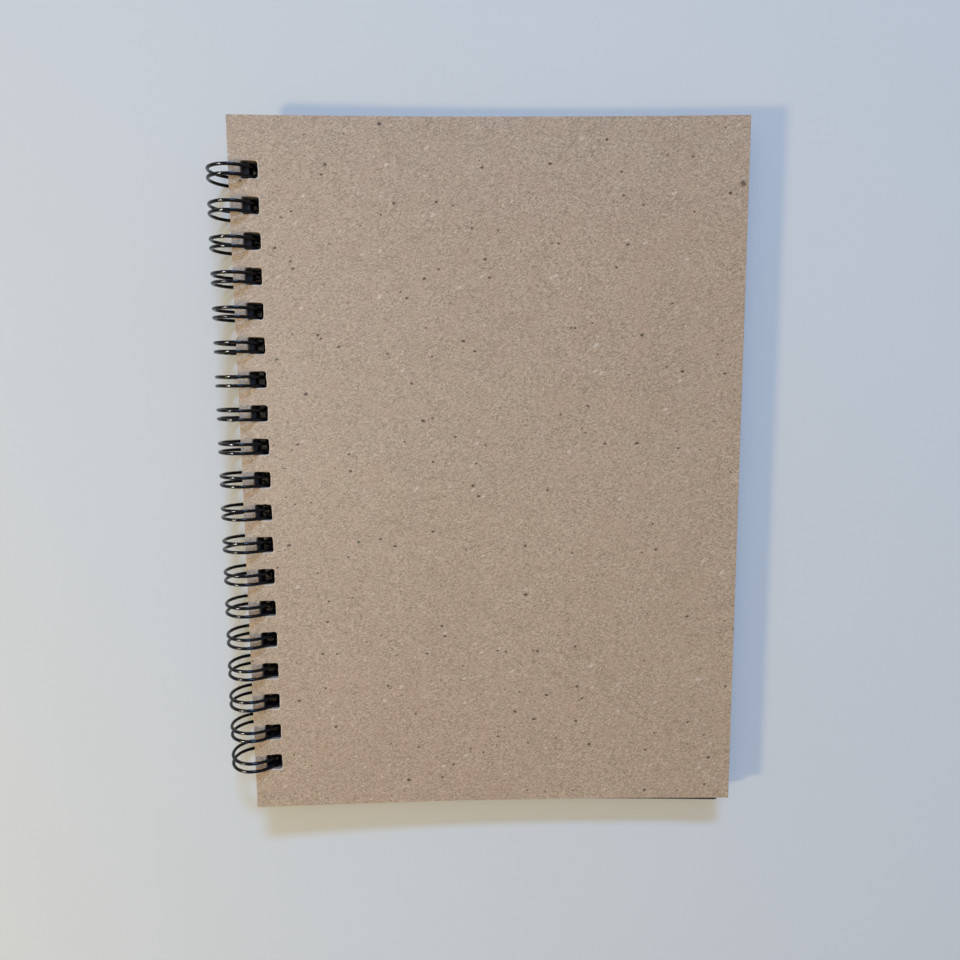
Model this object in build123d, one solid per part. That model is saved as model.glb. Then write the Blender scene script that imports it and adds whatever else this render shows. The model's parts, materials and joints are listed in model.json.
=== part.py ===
"""Pocket notebook with board covers on a twin-loop wire, lying closed. Millimetres.

The pieces are built about the axis of the wire's rings: X = 0 and Z = 0 on that axis,
+X towards the fore edge, +Y towards the head, +Z up, with Y = 0 halfway along the spine.
The finished notebook is then tilted so that the rings and the back cover's fore edge both
touch the ground, and moved so that the origin is the centre of its footprint at ground level.
"""

from build123d import *
from math import asin, atan, cos, degrees, hypot, pi, sin
import os

# Covers: two equal boards, near 5 by 7 inches
COVER_WIDTH = 128.0
COVER_HEIGHT = 177.8
BOARD_THICKNESS = 1.5
COVER_CORNER_RADIUS = 0.3
FRONT_CUP_DEPTH = 1.3          # the front cover's middle lies this much lower than its two long edges
FRONT_SKEW = 0.3               # degrees, anticlockwise seen from above, that the play in the holes allows
FRONT_SPINE_INSET = 0.43       # from the ring axis to the middle of the cover's spine edge
BACK_SPINE_INSET = 0.2

# Pages: one block of loose leaves
PAGE_SPINE_INSET = 1.5         # from the ring axis
PAGE_FORE_INSET = 1.29         # inside the front cover's fore edge
PAGE_END_INSET = 0.25          # inside the covers' head and tail edges
PAGE_SKEW = -0.45              # degrees, clockwise seen from above
SHEET_CLEARANCE = 0.1          # between the block and the cover above or below it
PAGE_LIFT_END = 20.0           # where the underside comes down onto the back cover, from the ring axis
PAGE_LIFT_START = 9.0          # where it starts to come down

# Wire: one piece, bent into twin loops at three to the inch
PITCH = 25.4 / 3
END_MARGIN = 12.7              # least distance from the covers' ends to the middle of the end loops
WIRE_DIAMETER = 0.85
RING_RADIUS = 6.0              # to the wire's centre line
PAIR_SPACING = 2.24            # between the centre lines of a loop's two legs
ROOT_BEND_RADIUS = 0.75
WIRE_SHIFT = -0.4              # the wire lies off the middle of the holes, towards the tail
WIRE_END_LENGTH = 1.0          # straight stub left at each end of the wire

# Holes: square, one for each loop
HOLE_WIDTH = 4.2               # along X
HOLE_END_PLAY = 0.105          # along Y, beside the leg that lies nearest to the hole's edge
HOLE_LEG_PLAY = 0.24           # along X, between a leg and the edge on the spine side
PAGE_HOLE_OFFSET = 0.2         # from the ring radius to the middle of the leaves' holes
PUNCH_DEPTH = 20.0             # reach of the cutting tools to each side, more than the stack is thick

# Heights of the stack
RING_RISE = 2.365              # the rings stand this much above the front cover's long edges
RING_DROP = 1.925              # and this much below the back cover
ROOT_CLEARANCE = 0.13          # between the wire's roots and the faces above and below them
TIP_CLEARANCE = 0.15           # between a loop's tip and the roots beside it

# Worked out from the sizes above, with heights and places from the ring axis
LOOP_COUNT = round((COVER_HEIGHT - 2 * END_MARGIN) / PITCH) + 1
RING_OUTSIDE = RING_RADIUS + WIRE_DIAMETER / 2
RING_INSIDE = RING_RADIUS - WIRE_DIAMETER / 2
FRONT_TOP = RING_OUTSIDE - RING_RISE
BACK_BOTTOM = RING_DROP - RING_OUTSIDE
BACK_TOP = BACK_BOTTOM + BOARD_THICKNESS
PAGE_FORE = FRONT_SPINE_INSET + COVER_WIDTH - PAGE_FORE_INSET
PAGE_HEIGHT = COVER_HEIGHT - 2 * PAGE_END_INSET
HOLE_HEIGHT = PAIR_SPACING + WIRE_DIAMETER + 2 * abs(WIRE_SHIFT) + 2 * HOLE_END_PLAY
BACK_HOLE_START = (RING_INSIDE**2 - BACK_BOTTOM**2) ** 0.5 - HOLE_LEG_PLAY
HOLE_INSET = BACK_HOLE_START - BACK_SPINE_INSET + HOLE_WIDTH / 2
ROOT_HEIGHT = BACK_TOP + ROOT_CLEARANCE + WIRE_DIAMETER / 2


def arc_radius(chord, sag):
    """Radius of the arc that dips by sag in the middle of a chord."""
    return chord**2 / (8 * sag) + sag / 2


def hole_centres():
    """Y of the middle of each hole."""
    first = -(LOOP_COUNT - 1) * PITCH / 2
    return [first + i * PITCH for i in range(LOOP_COUNT)]


def punch(board, inset):
    """Cut the row of square holes, its middle line at X = inset."""
    tool = Box(HOLE_WIDTH, HOLE_HEIGHT, 2 * PUNCH_DEPTH)
    for y in hole_centres():
        board -= Pos(inset, y, 0) * tool
    return board


def round_corners(board):
    """Keep only what lies inside the rounded outline of a cover."""
    outline = Pos(COVER_WIDTH / 2, 0) * RectangleRounded(COVER_WIDTH, COVER_HEIGHT, COVER_CORNER_RADIUS)
    return board & extrude(outline, amount=PUNCH_DEPTH, both=True)


def make_front_cover():
    """Cupped board: an arc-shaped section run along Y."""
    top_dip = FRONT_TOP - FRONT_CUP_DEPTH
    bottom = FRONT_TOP - BOARD_THICKNESS
    middle = COVER_WIDTH / 2
    section = make_face(
        ThreePointArc((0, 0, FRONT_TOP), (middle, 0, top_dip), (COVER_WIDTH, 0, FRONT_TOP))
        + Line((COVER_WIDTH, 0, FRONT_TOP), (COVER_WIDTH, 0, bottom))
        + ThreePointArc((COVER_WIDTH, 0, bottom), (middle, 0, top_dip - BOARD_THICKNESS), (0, 0, bottom))
        + Line((0, 0, bottom), (0, 0, FRONT_TOP))
    )
    board = extrude(section, amount=COVER_HEIGHT / 2, both=True)
    board = punch(round_corners(board), HOLE_INSET)
    return Pos(FRONT_SPINE_INSET, 0, 0) * Rot(0, 0, FRONT_SKEW) * board


def make_back_cover():
    """Flat board."""
    middle_height = (BACK_TOP + BACK_BOTTOM) / 2
    board = Pos(COVER_WIDTH / 2, 0, middle_height) * Box(COVER_WIDTH, COVER_HEIGHT, BOARD_THICKNESS)
    board = punch(round_corners(board), HOLE_INSET)
    return Pos(BACK_SPINE_INSET, 0, 0) * board


def make_page_block():
    """Leaves as one solid: the top follows the front cover, the underside steps over the roots."""
    cover_radius = arc_radius(COVER_WIDTH, FRONT_CUP_DEPTH)
    cover_middle = FRONT_SPINE_INSET + COVER_WIDTH / 2
    middle_height = FRONT_TOP - FRONT_CUP_DEPTH - BOARD_THICKNESS - SHEET_CLEARANCE

    def top(x):
        return middle_height + cover_radius - (cover_radius**2 - (x - cover_middle) ** 2) ** 0.5

    spine = PAGE_SPINE_INSET
    fore = PAGE_FORE
    flat = BACK_TOP + SHEET_CLEARANCE
    lifted = ROOT_HEIGHT + WIRE_DIAMETER / 2 + ROOT_CLEARANCE
    section = make_face(
        ThreePointArc((spine, 0, top(spine)), (cover_middle, 0, middle_height), (fore, 0, top(fore)))
        + Line((fore, 0, top(fore)), (fore, 0, flat))
        + Line((fore, 0, flat), (PAGE_LIFT_END, 0, flat))
        + Line((PAGE_LIFT_END, 0, flat), (PAGE_LIFT_START, 0, lifted))
        + Line((PAGE_LIFT_START, 0, lifted), (spine, 0, lifted))
        + Line((spine, 0, lifted), (spine, 0, top(spine)))
    )
    block = extrude(section, amount=PAGE_HEIGHT / 2, both=True)
    block = punch(block, RING_RADIUS - PAGE_HOLE_OFFSET)
    return Rot(0, 0, PAGE_SKEW) * block


def ring_point(angle, y, along=0.0):
    """A point at an angle round the ring, moved by along on the tangent there."""
    return Vector(
        RING_RADIUS * cos(angle) - along * sin(angle),
        y,
        RING_RADIUS * sin(angle) + along * cos(angle),
    )


def make_binding_wire():
    """One wire: for each loop a root bend, a leg round the ring, the tip, and the same way back."""
    half = PAIR_SPACING / 2
    bend = ROOT_BEND_RADIUS
    root_angle = asin(ROOT_HEIGHT / hypot(RING_RADIUS, bend)) - atan(bend / RING_RADIUS)
    tip_reach = half + bend + WIRE_DIAMETER + TIP_CLEARANCE
    leg_gap = (tip_reach**2 - (half + bend) ** 2) ** 0.5
    tip_angle = root_angle + leg_gap / RING_RADIUS
    far_side = (root_angle + tip_angle) / 2 - pi
    halfway = 1 - sin(pi / 4)
    edges = []
    last = None
    for y in hole_centres():
        low = y + WIRE_SHIFT - half
        high = y + WIRE_SHIFT + half
        root_in = ring_point(root_angle, low - bend, bend)
        root_out = ring_point(root_angle, high + bend, bend)
        start = last or root_in - Vector(0, WIRE_END_LENGTH, 0)
        edges += [
            Edge.make_line(start, root_in),
            Edge.make_three_point_arc(
                root_in,
                ring_point(root_angle, low - bend * halfway, bend * (1 - halfway)),
                ring_point(root_angle, low),
            ),
            Edge.make_three_point_arc(
                ring_point(root_angle, low), ring_point(far_side, low), ring_point(tip_angle, low)
            ),
            Edge.make_three_point_arc(
                ring_point(tip_angle, low),
                ring_point(tip_angle, low + half, -half),
                ring_point(tip_angle, high),
            ),
            Edge.make_three_point_arc(
                ring_point(tip_angle, high), ring_point(far_side, high), ring_point(root_angle, high)
            ),
            Edge.make_three_point_arc(
                ring_point(root_angle, high),
                ring_point(root_angle, high + bend * halfway, bend * (1 - halfway)),
                root_out,
            ),
        ]
        last = root_out
    edges.append(Edge.make_line(last, last + Vector(0, WIRE_END_LENGTH, 0)))
    path = Wire(edges)
    print("wire length", round(path.length, 2), "root angle", round(degrees(root_angle), 2),
          "tip angle", round(degrees(tip_angle), 2))
    profile = Plane(origin=path @ 0, z_dir=path % 0) * Circle(WIRE_DIAMETER / 2)
    return sweep(profile, path=path)


def rest_tilt():
    """Angle that brings the rings and the back cover's fore edge to one level."""
    reach = BACK_SPINE_INSET + COVER_WIDTH
    return degrees(asin(RING_OUTSIDE / hypot(reach, BACK_BOTTOM)) - atan(-BACK_BOTTOM / reach))


def main():
    pieces = {
        "front_cover": make_front_cover(),
        "page_block": make_page_block(),
        "back_cover": make_back_cover(),
        "binding_wire": make_binding_wire(),
    }
    tilt = rest_tilt()
    tilted = {name: Rot(0, tilt, 0) * piece for name, piece in pieces.items()}
    boxes = [piece.bounding_box() for piece in tilted.values()]
    x_middle = (min(b.min.X for b in boxes) + max(b.max.X for b in boxes)) / 2
    y_middle = (min(b.min.Y for b in boxes) + max(b.max.Y for b in boxes)) / 2
    place = Pos(-x_middle, -y_middle, RING_OUTSIDE)
    print("tilt", round(tilt, 4), "ring axis at", [round(v, 4) for v in (-x_middle, -y_middle, RING_OUTSIDE)])
    os.makedirs("parts", exist_ok=True)
    for name, piece in tilted.items():
        export_step(place * piece, f"parts/{name}.step")


if __name__ == "__main__":
    main()
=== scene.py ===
"""A pocket notebook with kraft board covers on a twin-loop wire: its finished pieces and its stage.

The pieces are modelled about the axis of the wire's rings, with the notebook level, and are then
tilted and moved to where the frame has them. Lengths are in metres.
"""

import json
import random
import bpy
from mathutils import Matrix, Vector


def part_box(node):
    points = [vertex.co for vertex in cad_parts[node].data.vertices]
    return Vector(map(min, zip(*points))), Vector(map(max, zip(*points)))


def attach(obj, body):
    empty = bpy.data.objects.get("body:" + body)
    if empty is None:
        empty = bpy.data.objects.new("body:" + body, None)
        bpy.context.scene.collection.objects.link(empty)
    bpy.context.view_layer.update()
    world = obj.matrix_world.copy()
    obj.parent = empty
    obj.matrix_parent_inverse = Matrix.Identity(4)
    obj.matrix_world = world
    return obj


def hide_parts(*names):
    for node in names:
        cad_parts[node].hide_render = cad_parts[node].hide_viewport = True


bl_info = {
    "name": "Twin-loop notebook",
    "version": (1, 0, 0),
    "blender": (4, 5, 0),
    "location": "View3D > Sidebar > Notebook",
    "description": "Models a wire-bound notebook with board covers, and a plain stage for it",
    "category": "Object",
}

from math import asin, atan, atan2, cos, hypot, pi, radians, sin

import bmesh
import bpy
from bpy.props import FloatProperty, FloatVectorProperty, IntProperty, PointerProperty
from mathutils import Matrix, Vector, noise

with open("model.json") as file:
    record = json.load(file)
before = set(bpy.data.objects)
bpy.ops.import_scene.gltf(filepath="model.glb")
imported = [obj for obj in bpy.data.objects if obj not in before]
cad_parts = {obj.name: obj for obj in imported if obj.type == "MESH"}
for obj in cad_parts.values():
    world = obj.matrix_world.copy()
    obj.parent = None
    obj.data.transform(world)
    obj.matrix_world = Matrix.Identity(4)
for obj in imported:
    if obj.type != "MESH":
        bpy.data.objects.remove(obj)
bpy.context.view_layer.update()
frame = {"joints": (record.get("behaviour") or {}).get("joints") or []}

MM = 0.001
RING_AXIS = Vector(frame["joints"][0]["pos_m"])
WIRE_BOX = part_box("binding_wire")
RING_OUTSIDE = RING_AXIS.z - WIRE_BOX[0][2]

# The loops lie this much towards the tail of the holes, so the wire's middle isn't the covers' middle
Y_LEAN = 0.4 * MM
# A hole's walls: how far from flat the punch leaves them, how often that changes along them, and the
# cuts in each side that give it room
PUNCH_FRAY = 0.11 * MM
FRAYS_PER_METRE = 900
HOLE_CUTS = 5
# The attribute that is 1 on the rims of the holes, which are painted pale: partly wear, and partly a
# painted highlight for the rims' lit bevels
WORN_AND_LIT = "worn_and_lit_rim"
# The largest dark marks on the front cover: mm from the spine edge, mm above the middle, radius in mm
BARK_MARKS = ((23.4, 77.4, 0.62), (126.6, 72.6, 1.0))

# Each leaf has an equal share of the stack's height, and fills it from the first part to the second
LEAF_FOOT = 0.08
LEAF_TOP = 0.84

# Steps in the wire's bends: from a root into a leg, round the ring, and at a loop's tip
ROOT_STEPS = 5
RING_STEPS = 60
TIP_STEPS = 12
# A loop leans more and more over this much of the ring from its top, and less and less before its root
LEAN_RISE = radians(125)
LEAN_FALL = radians(54)

# Points nearer than the first are one point, and a point is on an edge when it is nearer than the second
SAME_POINT = 1e-7
ON_EDGE = 1e-6
# Faces that meet at more than this keep a sharp edge
SHARP_ANGLE = radians(40)

# Most of a noise's values are within this range
NOISE_RANGE = (0.27, 0.73)


def length(name, default_mm, description):
    """A length that a user may change, given in millimetres and kept in metres."""
    return FloatProperty(
        name=name, description=description, default=default_mm * MM, unit="LENGTH", precision=5
    )


def angle(name, default_degrees, description):
    return FloatProperty(
        name=name, description=description, default=radians(default_degrees), subtype="ANGLE"
    )


def colour(name, default, description):
    return FloatVectorProperty(
        name=name, description=description, default=default, size=3, subtype="COLOR", min=0, max=1
    )


class CoverSizes(bpy.types.PropertyGroup):
    width: length("Width", 128.0, "From the spine edge to the fore edge")
    height: length("Height", 177.8, "From the tail to the head")
    thickness: length("Thickness", 1.5, "Of the board")
    corner: length("Corner radius", 0.3, "Of the four outer corners")
    front_inset: length("Front inset", 0.43, "From the ring axis to the front cover's spine edge")
    back_inset: length("Back inset", 0.2, "From the ring axis to the back cover's spine edge")
    front_top: length("Front top", 4.06, "Height of the front cover's long edges above the ring axis")
    back_bottom: length("Back bottom", -4.5, "Height of the back cover's outer face")
    cup: length("Cup", 1.3, "How far the front cover's middle lies below its long edges")
    skew: angle("Skew", 0.3, "How far the front cover is turned in the play of its holes")
    edge_softness: length("Edge softness", 0.12, "Radius of the board's pressed edges")
    hole_width: length("Hole width", 4.2, "Across the spine")
    hole_height: length("Hole height", 4.1, "Along the spine")
    hole_middle: length("Hole middle", 4.951, "From the spine edge to the middle of the holes")
    hole_corner: length("Hole corner", 0.6, "Radius of the holes' corners")
    hole_softness: length("Hole softness", 0.24, "Radius that the punch leaves on the holes' rims")


class WireSizes(bpy.types.PropertyGroup):
    loops: IntProperty(name="Loops", description="Twin loops on the spine", default=19, min=2)
    pitch: length("Pitch", 25.4 / 3, "From one loop to the next")
    diameter: length("Diameter", 0.85, "Of the wire")
    ring_radius: length("Ring radius", 6.0, "Of the rings, to the wire's centre line")
    pair_spacing: length("Pair spacing", 2.24, "Between the two legs of a loop")
    root_bend: length("Root bend", 0.75, "Radius of the bends into the roots")
    root_height: length("Root height", -2.445, "Height of the straight roots beside the ring axis")
    tip_clearance: length("Tip clearance", 0.15, "Between a loop's tip and the roots")
    shift: length("Shift", -0.4, "How far the loops lie off the middle of the holes")
    end_length: length("End length", 1.0, "Straight stub at each end of the wire")
    lean: length("Lean", 0.3, "Most that a loop's back leans towards the head")
    end_lean: length("End lean", 0.8, "Lean of the loop at the tail, which was knocked")


class LeafSizes(bpy.types.PropertyGroup):
    count: IntProperty(name="Leaves", description="Leaves between the covers", default=26, min=2)
    spine: length("Spine edge", 1.5, "From the ring axis to the leaves")
    fore: length("Fore edge", 127.14, "From the ring axis to the leaves' fore edge")
    height: length("Height", 177.3, "From the tail to the head")
    skew: angle("Skew", -0.45, "How far the leaves are turned in the play of their holes")
    hole_middle: length("Hole middle", 5.8, "From the ring axis to the middle of the holes")
    corner: length("Corner radius", 0.8, "Of the leaves' outer corners")
    slip: length("Slip", 0.3, "How far a leaf may lie out of line with the others")
    clearance: length("Clearance", 0.1, "Between the leaves and each cover")
    lift_start: length("Lift start", 9.0, "From the ring axis to where the leaves come down")
    lift_end: length("Lift end", 20.0, "And to where they lie flat again")
    lifted_height: length("Lifted height", -1.89, "Of the lowest leaf over the roots")


class Finishes(bpy.types.PropertyGroup):
    kraft_deep: colour("Board, deep", (0.34, 0.222, 0.132), "The hollows of the board's grain")
    kraft_pale: colour("Board, pale", (0.755, 0.556, 0.392), "The top of the grain")
    kraft_pink: colour("Board, pinker", (0.59, 0.37, 0.255), "Where red waste paper shows")
    speck: colour("Specks", (0.085, 0.055, 0.028), "Dark bark specks in the board")
    fibre: colour("Fibres", (0.86, 0.74, 0.62), "Pale fibres in the board")
    paper: colour("Leaves", (0.022, 0.021, 0.024), "The leaves")
    enamel: colour("Wire", (0.006, 0.006, 0.008), "The wire's coating")
    floor: colour("Floor", (0.82, 0.82, 0.82), "The pale ground")


SETTINGS = {"covers": CoverSizes, "wire": WireSizes, "leaves": LeafSizes, "finishes": Finishes}


def settings(context, name):
    return getattr(context.scene, "notebook_" + name)


# ---------------------------------------------------------------- shaders


class Value:
    """A node's output that Python's operators work on."""

    def __init__(self, shader, socket):
        self.shader = shader
        self.socket = socket

    def maths(self, operation, *values):
        inputs = dict(enumerate(values))
        return self.shader.node("ShaderNodeMath", {"operation": operation}, inputs)

    def __add__(self, other):
        return self.maths("ADD", self, other)

    def __radd__(self, other):
        return self.maths("ADD", other, self)

    def __sub__(self, other):
        return self.maths("SUBTRACT", self, other)

    def __rsub__(self, other):
        return self.maths("SUBTRACT", other, self)

    def __mul__(self, other):
        return self.maths("MULTIPLY", self, other)

    def __rmul__(self, other):
        return self.maths("MULTIPLY", other, self)

    def __abs__(self):
        return self.maths("ABSOLUTE", self)


class Shader:
    """A material in the making: a Principled surface and the nodes that feed it."""

    def __init__(self, name, constants):
        self.material = bpy.data.materials.new(name)
        self.material.use_nodes = True
        self.tree = self.material.node_tree
        self.surface = self.tree.nodes["Principled BSDF"]
        for socket, value in constants.items():
            self.surface.inputs[socket].default_value = value
        self.place = self.node("ShaderNodeTexCoord", out="Object")

    def node(self, kind, choices=None, inputs=None, out=0):
        """A node of a kind: its choices are set first, then its sockets' values or links."""
        made = self.tree.nodes.new(kind)
        for name, value in (choices or {}).items():
            setattr(made, name, value)
        for key, value in (inputs or {}).items():
            if isinstance(value, Value):
                self.tree.links.new(value.socket, made.inputs[key])
            else:
                made.inputs[key].default_value = value
        return Value(self, made.outputs[out])

    def feed(self, socket, value):
        self.tree.links.new(value.socket, self.surface.inputs[socket])

    def noise(self, feature, detail=2.0, roughness=0.5, at=None):
        """Noise from 0 to 1 whose features are about this long, in metres."""
        inputs = {
            "Vector": at or self.place,
            "Scale": 1 / feature,
            "Detail": detail,
            "Roughness": roughness,
        }
        return self.node("ShaderNodeTexNoise", {"noise_dimensions": "3D"}, inputs, "Fac")

    def strong_noise(self, feature, detail, roughness, at=None):
        """Noise that reaches 0 and 1."""
        return self.step(self.noise(feature, detail, roughness, at), *NOISE_RANGE)

    def cells(self, spacing, at):
        """Distance to the nearest of points scattered this far apart, as a share of the spacing."""
        return self.node("ShaderNodeTexVoronoi", {}, {"Vector": at, "Scale": 1 / spacing}, "Distance")

    def bits(self, spacing, radius, at):
        """1 on scattered bits of uneven outline. The largest have the radius, the smallest 0.15 of it."""
        largest = radius / spacing
        growth = self.step(self.noise(spacing * 1.3, 1.0), 0.32, 0.68)
        size = 0.15 * largest + growth * (0.85 * largest)
        ragged = self.cells(spacing, at) + (self.noise(radius, 2.0) - 0.5) * largest
        return 1 - self.step(ragged, size * 0.7, size)

    def turned(self, degrees, squeeze):
        """Coordinates turned about Z; a pattern on them is 1 / squeeze times as long along the new X."""
        inputs = {
            "Vector": self.place,
            "Rotation": (0, 0, radians(degrees)),
            "Scale": (1 / squeeze, 1, 1),
        }
        return self.node("ShaderNodeMapping", {"vector_type": "TEXTURE"}, inputs)

    def step(self, value, low, high):
        """0 below low, 1 above high, and smooth between."""
        inputs = {"Value": value, "From Min": low, "From Max": high, "To Min": 0.0, "To Max": 1.0}
        return self.node("ShaderNodeMapRange", {"interpolation_type": "SMOOTHSTEP"}, inputs)

    def mix(self, share, first, second):
        """Two colours mixed: first where share is 0."""
        inputs = {0: share, 6: self.opaque(first), 7: self.opaque(second)}
        return self.node("ShaderNodeMix", {"data_type": "RGBA"}, inputs, 2)

    @staticmethod
    def opaque(value):
        return value if isinstance(value, Value) else (*value, 1.0)

    def bump(self, height, distance):
        """Raise the surface by up to a distance, where height is 1."""
        inputs = {"Height": height, "Distance": distance, "Strength": 1.0}
        self.feed("Normal", self.node("ShaderNodeBump", {}, inputs, "Normal"))


def kraft_board(name, finishes, marks=()):
    """Recycled board: coarse pulp with a felted grain, pale and dark bits, and pale hole rims that are
    partly wear and partly painted highlight.

    marks are the larger dark marks, each a place and a radius.
    """
    s = Shader(name, {"Roughness": 0.5, "Specular IOR Level": 0.5})

    # The grain: round pulp, and fibres that mostly lie two ways
    felt = s.strong_noise(0.36 * MM, 3.0, 0.7)
    warp = s.strong_noise(0.30 * MM, 2.0, 0.6, s.turned(27, 0.26))
    weft = s.strong_noise(0.34 * MM, 2.0, 0.6, s.turned(-24, 0.36))
    relief = felt * 0.5 + warp * 0.3 + weft * 0.2
    # Lumps of pulp, slow drifts of tone and small dark pits
    pulp = s.noise(2.4 * MM, 3.0, 0.6)
    clouds = s.noise(16 * MM, 2.0, 0.5)
    pits = 1 - s.step(s.noise(0.5 * MM, 1.0), 0.24, 0.38)
    # 0.5 where the board has its even tone
    grain = relief * 1.55 + pulp * 0.34 + clouds * 0.14 - pits * 0.2 - 0.5
    tone = s.mix(grain, finishes.kraft_deep, finishes.kraft_pale)
    blush = s.step(s.noise(5 * MM, 3.0, 0.6), 0.46, 0.72)
    tone = s.mix(blush * 0.35, tone, finishes.kraft_pink)

    # Thin pale hairs lie along the middle level of a noise, in patches
    hair = 1 - s.step(abs(s.noise(3.0 * MM, 1.0, 0.4) - 0.5), 0.0, 0.012)
    hair = hair * s.step(s.noise(4.0 * MM, 2.0, 0.5, s.turned(-31, 0.25)), 0.58, 0.68)
    tone = s.mix(hair * 0.45, tone, finishes.fibre)

    # Bits: spacing and largest radius, direction and squeeze, then how much they cover
    pale = s.bits(3.1 * MM, 0.46 * MM, s.turned(33, 0.5))
    tone = s.mix(pale * 0.5, tone, finishes.fibre)
    pale_dust = s.bits(1.6 * MM, 0.21 * MM, s.turned(-20, 0.6))
    tone = s.mix(pale_dust * 0.45, tone, finishes.fibre)
    dark = s.bits(3.1 * MM, 0.44 * MM, s.turned(12, 0.7))
    tone = s.mix(dark * 0.9, tone, finishes.speck)
    dark_dust = s.bits(1.8 * MM, 0.24 * MM, s.turned(-40, 0.75))
    tone = s.mix(dark_dust * 0.6, tone, finishes.speck)
    for place, radius in marks:
        offset = s.node(
            "ShaderNodeVectorMath", {"operation": "DISTANCE"}, {0: s.place, 1: place}, "Value"
        )
        ragged = offset + (s.noise(0.5 * MM, 2.0) - 0.5) * (radius * 1.3)
        mark = 1 - s.step(ragged, radius * 0.35, radius)
        tone = s.mix(mark * 0.8, tone, finishes.speck)

    # The punch and the wire rub the holes' rims pale, here and there, and the same pale paints in the
    # highlight of the rims' lit bevels
    rim_wear_and_highlight = s.node("ShaderNodeAttribute", {"attribute_name": WORN_AND_LIT}, {}, "Fac")
    rubbed_and_highlighted = s.step(rim_wear_and_highlight, 0.0, 0.6) * s.step(s.noise(1.1 * MM, 2.0), 0.3, 0.5)
    tone = s.mix(rubbed_and_highlighted * 0.7, tone, finishes.fibre)
    s.feed("Base Color", tone)
    s.bump(relief + pulp * 0.6, 0.06 * MM)
    return s.material


def black_paper(finishes):
    """Uncoated black leaves, a little greyer here and there."""
    s = Shader("black_paper", {"Roughness": 0.85, "Specular IOR Level": 0.3})
    fibres = s.noise(0.5 * MM, 3.0, 0.6)
    clouds = s.noise(7 * MM, 2.0, 0.5)
    grey = tuple(2.1 * c for c in finishes.paper)
    tone = s.mix(s.step(fibres, 0.35, 0.8) * 0.55 + clouds * 0.25, finishes.paper, grey)
    s.feed("Base Color", tone)
    s.bump(fibres, 0.05 * MM)
    return s.material


def wire_enamel(finishes):
    """Glossy black coating on the wire, with faint orange peel and a few dull rubs."""
    s = Shader("wire_enamel", {"Specular IOR Level": 0.35})
    rubs = s.step(s.noise(2.2 * MM, 3.0, 0.6), 0.55, 0.75)
    s.feed("Roughness", 0.12 + 0.2 * rubs)
    lighter = tuple(2.2 * c for c in finishes.enamel)
    s.feed("Base Color", s.mix(rubs * 0.5, finishes.enamel, lighter))
    s.bump(s.noise(0.7 * MM, 1.0), 0.012 * MM)
    return s.material


def matt_ground(finishes):
    """The pale table top: matt, and a little uneven in tone."""
    s = Shader("matt_ground", {"Roughness": 0.8, "Specular IOR Level": 0.0})
    drift = s.noise(60 * MM, 2.0, 0.5)
    dim = tuple(0.975 * c for c in finishes.floor)
    s.feed("Base Color", s.mix(drift, finishes.floor, dim))
    return s.material


# ---------------------------------------------------------------- modelling


def hole_rows(wire):
    """Y of the middle of each hole, from the tail to the head."""
    first = -(wire.loops - 1) * wire.pitch / 2
    return [first + i * wire.pitch for i in range(wire.loops)]


def rest_tilt(covers):
    """The angle at which the rings and the back cover's fore edge stand on one level."""
    reach = covers.back_inset + covers.width
    drop = -covers.back_bottom
    return asin(RING_OUTSIDE / hypot(reach, drop)) - atan(drop / reach)


def to_frame(covers):
    """From the level notebook about its ring axis to where the frame has it."""
    middle = (WIRE_BOX[0][1] + WIRE_BOX[1][1]) / 2
    axis = Vector((RING_AXIS.x, middle + Y_LEAN, RING_AXIS.z))
    return Matrix.Translation(axis) @ Matrix.Rotation(rest_tilt(covers), 4, "Y")


def cut(bm, faces, axis, at):
    """Cut faces along a line square to an axis, 0 for X or 1 for Y."""
    normal = Vector((axis == 0, axis == 1, 0))
    edges = {e for f in faces for e in f.edges}
    verts = {v for f in faces for v in f.verts}
    bmesh.ops.bisect_plane(
        bm, geom=[*verts, *edges, *faces], dist=SAME_POINT, plane_co=normal * at, plane_no=normal
    )


def punched_sheet(x_start, width, height, corner, hole_start, hole_width, hole_height, rows, columns):
    """A flat sheet with its row of square holes, cut into columns so that it can be bent.

    The sheet and the edges of its holes are returned.
    """
    bm = bmesh.new()
    bmesh.ops.create_grid(bm, x_segments=1, y_segments=1, size=0.5)
    bmesh.ops.scale(bm, vec=(width, height, 1), verts=bm.verts)
    bmesh.ops.translate(bm, vec=(x_start + width / 2, 0, 0), verts=bm.verts)
    bmesh.ops.bevel(
        bm, geom=bm.verts[:], offset=corner, segments=4, profile=0.5, affect="VERTICES", material=-1
    )
    hole_end = hole_start + hole_width
    rest = x_start + width - hole_end
    lines = [hole_start, hole_end] + [hole_end + rest * i / columns for i in range(1, columns)]
    for line in lines:
        cut(bm, bm.faces[:], 0, line)

    def strip():
        return [f for f in bm.faces if hole_start < f.calc_center_median().x < hole_end]

    for y in rows:
        cut(bm, strip(), 1, y - hole_height / 2)
        cut(bm, strip(), 1, y + hole_height / 2)

    def in_hole(face):
        return any(abs(face.calc_center_median().y - y) < hole_height / 4 for y in rows)

    punched = [f for f in strip() if in_hole(f)]
    rim = {e for f in punched for e in f.edges}
    bmesh.ops.delete(bm, geom=punched, context="FACES")
    return bm, list(rim)


def thicken(bm, thickness):
    """Give a flat sheet its thickness, downwards."""
    made = bmesh.ops.extrude_face_region(bm, geom=bm.faces[:])
    lower = [v for v in made["geom"] if isinstance(v, bmesh.types.BMVert)]
    bmesh.ops.translate(bm, vec=(0, 0, -thickness), verts=lower)
    bmesh.ops.recalc_face_normals(bm, faces=bm.faces)


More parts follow.
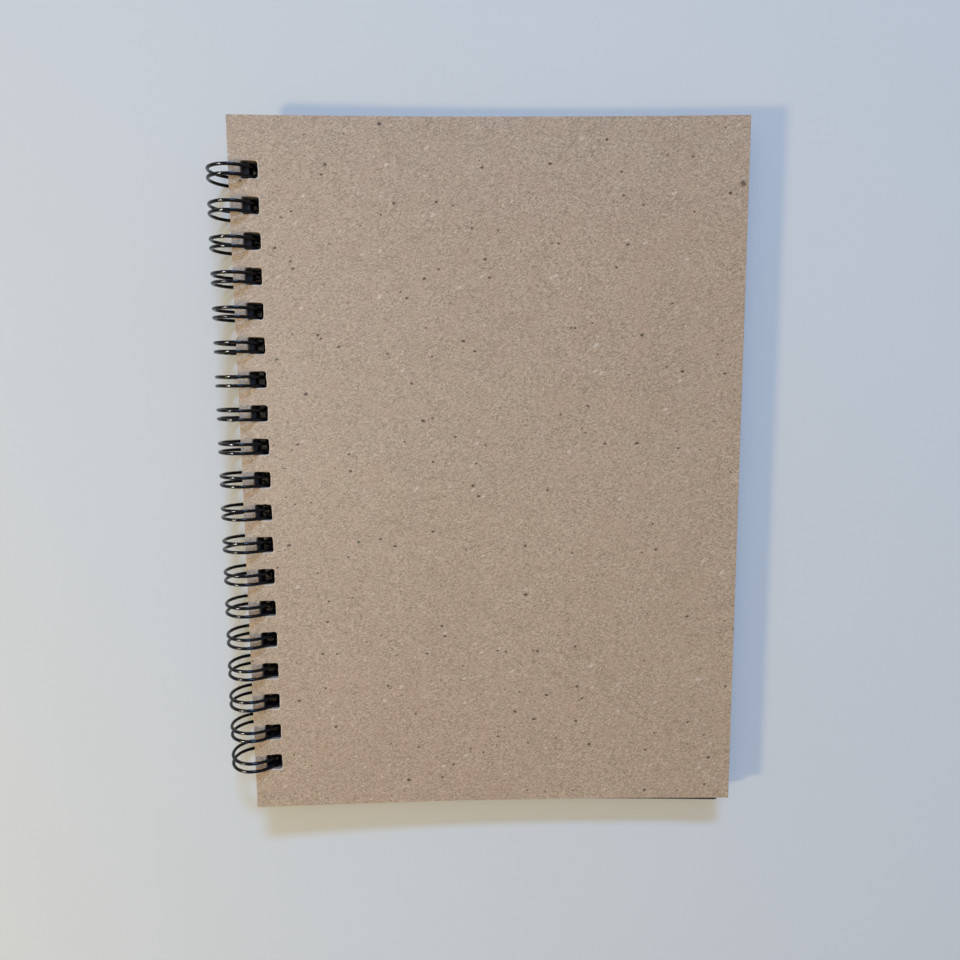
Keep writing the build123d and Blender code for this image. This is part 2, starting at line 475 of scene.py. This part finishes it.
def between(edge, kind):
    """Whether an edge is a rim, between a flat face and a cut side, or a corner of two cut sides."""
    if len(edge.link_faces) != 2:
        return False
    first, second = (f.normal for f in edge.link_faces)
    if kind == "rim":
        return abs(abs(first.z) - abs(second.z)) > 0.7
    return max(abs(first.z), abs(second.z)) < 0.5 and first.dot(second) < 0.2


def bevel_edges(bm, edges, radius, segments):
    bmesh.ops.bevel(
        bm, geom=edges, offset=radius, segments=segments, profile=0.5, affect="EDGES", material=-1
    )


def finish_piece(bm, name, material, body, node):
    """Make the mesh an object that stands for a node, and say what it rides on."""
    bmesh.ops.recalc_face_normals(bm, faces=bm.faces)
    mesh = bpy.data.meshes.new(name)
    bm.to_mesh(mesh)
    bm.free()
    mesh.polygons.foreach_set("use_smooth", [True] * len(mesh.polygons))
    mesh.set_sharp_from_angle(angle=SHARP_ANGLE)
    mesh.materials.append(material)
    piece = bpy.data.objects.new(name, mesh)
    bpy.context.scene.collection.objects.link(piece)
    piece.modifiers.new("even_shading", "WEIGHTED_NORMAL").keep_sharp = True
    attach(piece, body)
    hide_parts(node)
    return piece


def board(covers, wire, seed):
    """A cover's flat board, its spine edge at X = 0 and its top at Z = 0.

    The holes' walls are uneven, as a blunt punch leaves them, and their rims are marked for a pale colour
    that is partly wear and partly painted highlight.
    """
    start = covers.hole_middle - covers.hole_width / 2
    bm, rim = punched_sheet(
        0, covers.width, covers.height, covers.corner, start,
        covers.hole_width, covers.hole_height, hole_rows(wire), columns=24,
    )
    bmesh.ops.subdivide_edges(bm, edges=rim, cuts=HOLE_CUTS)
    thicken(bm, covers.thickness)

    end = start + covers.hole_width

    def at_hole(edge):
        across = all(start - ON_EDGE < v.co.x < end + ON_EDGE for v in edge.verts)
        return across and all(abs(v.co.y) < covers.height / 2 - ON_EDGE for v in edge.verts)

    corners = [e for e in bm.edges if between(e, "corner") and at_hole(e)]
    bevel_edges(bm, corners, covers.hole_corner, 3)
    rim_wear_and_highlight = bm.verts.layers.float.new(WORN_AND_LIT)
    outer_rims = [e for e in bm.edges if between(e, "rim") and not at_hole(e)]
    bevel_edges(bm, outer_rims, covers.edge_softness, 2)
    hole_rims = [e for e in bm.edges if between(e, "rim") and at_hole(e)]
    bevel_edges(bm, hole_rims, covers.hole_softness, 3)
    bm.normal_update()
    reach = covers.hole_softness * 1.5
    inner = covers.height / 2 - covers.hole_width
    for v in bm.verts:
        if start - reach < v.co.x < end + reach and abs(v.co.y) < inner:
            # Marked for the pale rim, wear and painted highlight, where every face round the point
            # slopes, so on the bevel and not on a flat side
            v[rim_wear_and_highlight] = float(all(0.05 < abs(f.normal.z) < 0.999 for f in v.link_faces))
            v.co += noise.noise_vector(v.co * FRAYS_PER_METRE + Vector((seed, 0, 0))) * PUNCH_FRAY
    return bm


def cup_height(x, width, depth):
    """How far the cupped board lies below its long edges, at x from the spine edge."""
    radius = width**2 / (8 * depth) + depth / 2
    return (radius**2 - (x - width / 2) ** 2) ** 0.5 - (radius - depth)


class NOTEBOOK_OT_front_cover(bpy.types.Operator):
    """Model the front cover: a cupped board with a row of punched holes"""

    bl_idname = "notebook.front_cover"
    bl_label = "Front cover"

    def execute(self, context):
        covers = settings(context, "covers")
        bm = board(covers, settings(context, "wire"), seed=3)
        for v in bm.verts:
            v.co.z += covers.front_top - cup_height(v.co.x, covers.width, covers.cup)

        turn = Matrix.Rotation(covers.skew, 4, "Z")
        place = to_frame(covers) @ Matrix.Translation((covers.front_inset, 0, 0)) @ turn
        bmesh.ops.transform(bm, matrix=place, verts=bm.verts)

        def on_top(x, y):
            return place @ Vector((x, y, covers.front_top - cup_height(x, covers.width, covers.cup)))

        marks = [(on_top(x * MM, y * MM), radius * MM) for x, y, radius in BARK_MARKS]
        material = kraft_board("front_board", settings(context, "finishes"), marks)
        finish_piece(bm, "front_cover_board", material, "front", "front_cover")
        return {"FINISHED"}


class NOTEBOOK_OT_back_cover(bpy.types.Operator):
    """Model the back cover: a flat board with the same holes"""

    bl_idname = "notebook.back_cover"
    bl_label = "Back cover"

    def execute(self, context):
        covers = settings(context, "covers")
        bm = board(covers, settings(context, "wire"), seed=11)
        lift = (covers.back_inset, 0, covers.back_bottom + covers.thickness)
        place = to_frame(covers) @ Matrix.Translation(lift)
        bmesh.ops.transform(bm, matrix=place, verts=bm.verts)
        material = kraft_board("back_board", settings(context, "finishes"))
        finish_piece(bm, "back_cover_board", material, "back", "back_cover")
        return {"FINISHED"}


class NOTEBOOK_OT_leaves(bpy.types.Operator):
    """Model the leaves: a stack of thin sheets that ride over the wire's roots"""

    bl_idname = "notebook.leaves"
    bl_label = "Leaves"

    def execute(self, context):
        covers, wire, leaves = (settings(context, n) for n in ("covers", "wire", "leaves"))
        draw = random.Random(7)
        flat = covers.back_bottom + covers.thickness + leaves.clearance
        under = covers.front_top - covers.thickness - leaves.clearance

        def lowest(x):
            share = (x - leaves.lift_start) / (leaves.lift_end - leaves.lift_start)
            share = min(max(share, 0), 1)
            return leaves.lifted_height + (flat - leaves.lifted_height) * share

        def highest(x):
            return under - cup_height(x - covers.front_inset, covers.width, covers.cup)

        # Each leaf slips a little in the play of its holes
        width = leaves.fore - leaves.spine - leaves.slip
        sheet, _ = punched_sheet(
            leaves.spine, width, leaves.height - leaves.slip, leaves.corner,
            leaves.hole_middle - covers.hole_width / 2, covers.hole_width, covers.hole_height,
            hole_rows(wire), columns=12,
        )
        # One leaf's mesh, with its top at Z = 0 and its foot at -1, is set to its height for each leaf
        thicken(sheet, 1.0)
        mesh = bpy.data.meshes.new("leaf")
        sheet.to_mesh(mesh)
        sheet.free()
        stack = bmesh.new()
        for i in range(leaves.count):
            slip = Vector((draw.uniform(0, 1), draw.uniform(-0.5, 0.5), 0)) * leaves.slip
            known = len(stack.verts)
            stack.from_mesh(mesh)
            stack.verts.ensure_lookup_table()
            for v in stack.verts[known:]:
                level = (i + (LEAF_TOP if v.co.z > -0.5 else LEAF_FOOT)) / leaves.count
                v.co += slip
                low, high = lowest(v.co.x), highest(v.co.x)
                v.co.z = low + (high - low) * level
        bpy.data.meshes.remove(mesh)
        turn = Matrix.Rotation(leaves.skew, 4, "Z")
        bmesh.ops.transform(stack, matrix=to_frame(covers) @ turn, verts=stack.verts)
        material = black_paper(settings(context, "finishes"))
        finish_piece(stack, "page_block_leaves", material, "pages_and_wire", "page_block")
        return {"FINISHED"}


class WireBender:
    """Bends a round wire: its open end is spun and drawn out, one bend after another."""

    def __init__(self, radius, start, sides=14):
        self.bm = bmesh.new()
        bmesh.ops.create_circle(self.bm, cap_ends=True, radius=radius, segments=sides)
        facing = Matrix.Translation(start) @ Matrix.Rotation(-pi / 2, 4, "X")
        bmesh.ops.transform(self.bm, matrix=facing, verts=self.bm.verts)
        self.end = self.bm.faces[:]

    def run(self, step):
        """Draw the wire out straight."""
        made = bmesh.ops.extrude_face_region(self.bm, geom=self.end)["geom"]
        self.end = [g for g in made if isinstance(g, bmesh.types.BMFace)]
        ends = [v for f in self.end for v in f.verts]
        bmesh.ops.translate(self.bm, vec=step, verts=ends)

    def bend(self, centre, axis, turn, steps):
        """Bend the wire round an axis, by the right-hand rule."""
        made = bmesh.ops.spin(
            self.bm, geom=self.end, cent=centre, axis=axis, angle=turn, steps=steps, use_duplicate=False
        )["geom_last"]
        self.end = [g for g in made if isinstance(g, bmesh.types.BMFace)]


def smooth(share):
    """0 below 0, 1 above 1, and smooth between."""
    share = min(max(share, 0), 1)
    return share * share * (3 - 2 * share)


def lean_share(point, root):
    """How much of its lean a loop has at a point: none at the root or on top, all of it at the back."""
    around = atan2(point.z, point.x) % (2 * pi)
    rising = smooth((around - pi / 2) / LEAN_RISE)
    falling = smooth((root % (2 * pi) - around) / LEAN_FALL)
    return min(rising, falling)


class NOTEBOOK_OT_wire(bpy.types.Operator):
    """Bend the binding wire: a root, a leg round the ring, the tip, and the same way back"""

    bl_idname = "notebook.wire"
    bl_label = "Binding wire"

    def execute(self, context):
        covers, wire = settings(context, "covers"), settings(context, "wire")
        half = wire.pair_spacing / 2
        bend, ring = wire.root_bend, wire.ring_radius
        # Angles round the ring at which a loop's legs leave the root, and at which they end at its tip
        root = asin(wire.root_height / hypot(ring, bend)) - atan(bend / ring)
        reach = half + bend + wire.diameter + wire.tip_clearance
        tip = root + (reach**2 - (half + bend) ** 2) ** 0.5 / ring
        round_ring = 2 * pi - (tip - root)
        along_y = Vector((0, 1, 0))

        def spoke(a):
            return Vector((cos(a), 0, sin(a)))

        def tangent(a):
            return Vector((-sin(a), 0, cos(a)))

        root_line = ring * spoke(root) + bend * tangent(root)
        rows = [y + wire.shift for y in hole_rows(wire)]
        first = root_line + along_y * (rows[0] - half - bend - wire.end_length)
        bender = WireBender(wire.diameter / 2, first)
        bender.run(along_y * wire.end_length)
        for i, y in enumerate(rows):
            low = along_y * (y - half)
            high = along_y * (y + half)
            foot = ring * spoke(root)
            bender.bend(foot + low - along_y * bend, spoke(root), -pi / 2, ROOT_STEPS)
            bender.bend(low, along_y, round_ring, RING_STEPS)
            bender.bend(ring * spoke(tip) + along_y * y, spoke(tip), pi, TIP_STEPS)
            bender.bend(high, along_y, -round_ring, RING_STEPS)
            bender.bend(foot + high + along_y * bend, spoke(root), -pi / 2, ROOT_STEPS)
            gap = wire.pitch - wire.pair_spacing - 2 * bend
            bender.run(along_y * (gap if i < len(rows) - 1 else wire.end_length))
        bm = bender.bm
        bmesh.ops.remove_doubles(bm, verts=bm.verts, dist=SAME_POINT)
        draw = random.Random(5)
        leans = [wire.end_lean] + [draw.uniform(0, wire.lean) for _ in rows[1:]]
        for v in bm.verts:
            nearest = min(range(len(rows)), key=lambda i: abs(rows[i] - v.co.y))
            v.co.y += leans[nearest] * lean_share(v.co, root)
        bmesh.ops.transform(bm, matrix=to_frame(covers), verts=bm.verts)
        material = wire_enamel(settings(context, "finishes"))
        finish_piece(bm, "binding_wire_loops", material, "pages_and_wire", "binding_wire")
        return {"FINISHED"}


# ---------------------------------------------------------------- stage

# Half of the ground's side
GROUND_HALF = 1.4
# Where the camera stands from the middle of the ring axis, its turn in degrees, and in mm its sensor
# and lens
CAMERA_OFFSET = (0.0597, 0.0213, 0.1875)
CAMERA_TURN = (-6.662, -0.486, -0.151)
SENSOR_AND_LENS = (36, 27.04)
ROOM_LIGHT = (0.20, 0.20, 0.20, 1)
ROOM_WALLS = (0.62, 0.62, 0.62, 1)


def area_light(name, place, size, power, tint):
    """A soft lamp of a width and a height, aimed at the notebook."""
    lamp = bpy.data.lights.new(name, "AREA")
    lamp.shape = "RECTANGLE"
    lamp.size, lamp.size_y = size
    lamp.energy = power
    lamp.color = tint
    holder = bpy.data.objects.new(name, lamp)
    holder.location = place
    holder.rotation_euler = (-Vector(place)).to_track_quat("-Z", "Y").to_euler()
    bpy.context.scene.collection.objects.link(holder)
    return holder


def room():
    """A dim room whose walls look pale to the camera."""
    world = bpy.data.worlds.new("room")
    world.use_nodes = True
    tree = world.node_tree
    dim = tree.nodes["Background"]
    dim.inputs["Color"].default_value = ROOM_LIGHT
    pale = tree.nodes.new("ShaderNodeBackground")
    pale.inputs["Color"].default_value = ROOM_WALLS
    path = tree.nodes.new("ShaderNodeLightPath")
    choice = tree.nodes.new("ShaderNodeMixShader")
    tree.links.new(path.outputs["Is Camera Ray"], choice.inputs[0])
    tree.links.new(dim.outputs[0], choice.inputs[1])
    tree.links.new(pale.outputs[0], choice.inputs[2])
    tree.links.new(choice.outputs[0], tree.nodes["World Output"].inputs["Surface"])
    return world


class NOTEBOOK_OT_stage(bpy.types.Operator):
    """Set the pale ground, the lamps, the room and the camera"""

    bl_idname = "notebook.stage"
    bl_label = "Stage"

    def execute(self, context):
        bm = bmesh.new()
        bmesh.ops.create_grid(bm, x_segments=1, y_segments=1, size=GROUND_HALF)
        mesh = bpy.data.meshes.new("ground")
        bm.to_mesh(mesh)
        bm.free()
        mesh.materials.append(matt_ground(settings(context, "finishes")))
        ground = bpy.data.objects.new("ground", mesh)
        context.scene.collection.objects.link(ground)

        area_light(
            "warm_lamp", place=(-0.59, -0.19, 0.455), size=(0.08, 0.08), power=2.0, tint=(1.0, 0.78, 0.31)
        )
        area_light(
            "cool_window", place=(0.05, 1.82, 1.29), size=(0.6, 0.22), power=28.0, tint=(0.24, 0.52, 1.0)
        )
        ceiling = area_light(
            "ceiling", place=(-0.15, 0.3, 1.3), size=(1.4, 1.4), power=4.75, tint=(1.0, 0.99, 0.97)
        )
        ceiling.visible_glossy = False
        # Only glossy surfaces see this lamp, which gives the wire its small white glints
        glint = area_light(
            "glint_lamp", place=(-0.55, 0.02, 0.62), size=(0.09, 0.09), power=8.0, tint=(1.0, 1.0, 1.0)
        )
        glint.visible_diffuse = False
        context.scene.world = room()
        context.scene.view_settings.view_transform = "Standard"

        camera = bpy.data.cameras.new("camera")
        camera.sensor_width, camera.lens = SENSOR_AND_LENS
        camera.clip_start = 5 * MM
        holder = bpy.data.objects.new("camera", camera)
        holder.location = RING_AXIS + Vector(CAMERA_OFFSET)
        holder.rotation_euler = [radians(turn) for turn in CAMERA_TURN]
        context.scene.collection.objects.link(holder)
        context.scene.camera = holder
        return {"FINISHED"}


class NOTEBOOK_PT_panel(bpy.types.Panel):
    """The notebook's steps, in order"""

    bl_label = "Twin-loop notebook"
    bl_idname = "NOTEBOOK_PT_panel"
    bl_space_type = "VIEW_3D"
    bl_region_type = "UI"
    bl_category = "Notebook"

    def draw(self, context):
        for operator in OPERATORS:
            self.layout.operator(operator.bl_idname)
        for name, group in SETTINGS.items():
            box = self.layout.box()
            for field in group.__annotations__:
                box.prop(settings(context, name), field)


OPERATORS = (
    NOTEBOOK_OT_front_cover,
    NOTEBOOK_OT_back_cover,
    NOTEBOOK_OT_leaves,
    NOTEBOOK_OT_wire,
    NOTEBOOK_OT_stage,
)


def register():
    for name, group in SETTINGS.items():
        bpy.utils.register_class(group)
        setattr(bpy.types.Scene, "notebook_" + name, PointerProperty(type=group))
    for item in (*OPERATORS, NOTEBOOK_PT_panel):
        bpy.utils.register_class(item)


def unregister():
    for item in (NOTEBOOK_PT_panel, *reversed(OPERATORS)):
        bpy.utils.unregister_class(item)
    for name, group in SETTINGS.items():
        delattr(bpy.types.Scene, "notebook_" + name)
        bpy.utils.unregister_class(group)


def main():
    register()
    bpy.ops.notebook.front_cover()
    bpy.ops.notebook.back_cover()
    bpy.ops.notebook.leaves()
    bpy.ops.notebook.wire()
    bpy.ops.notebook.stage()


if __name__ == "__main__":
    main()
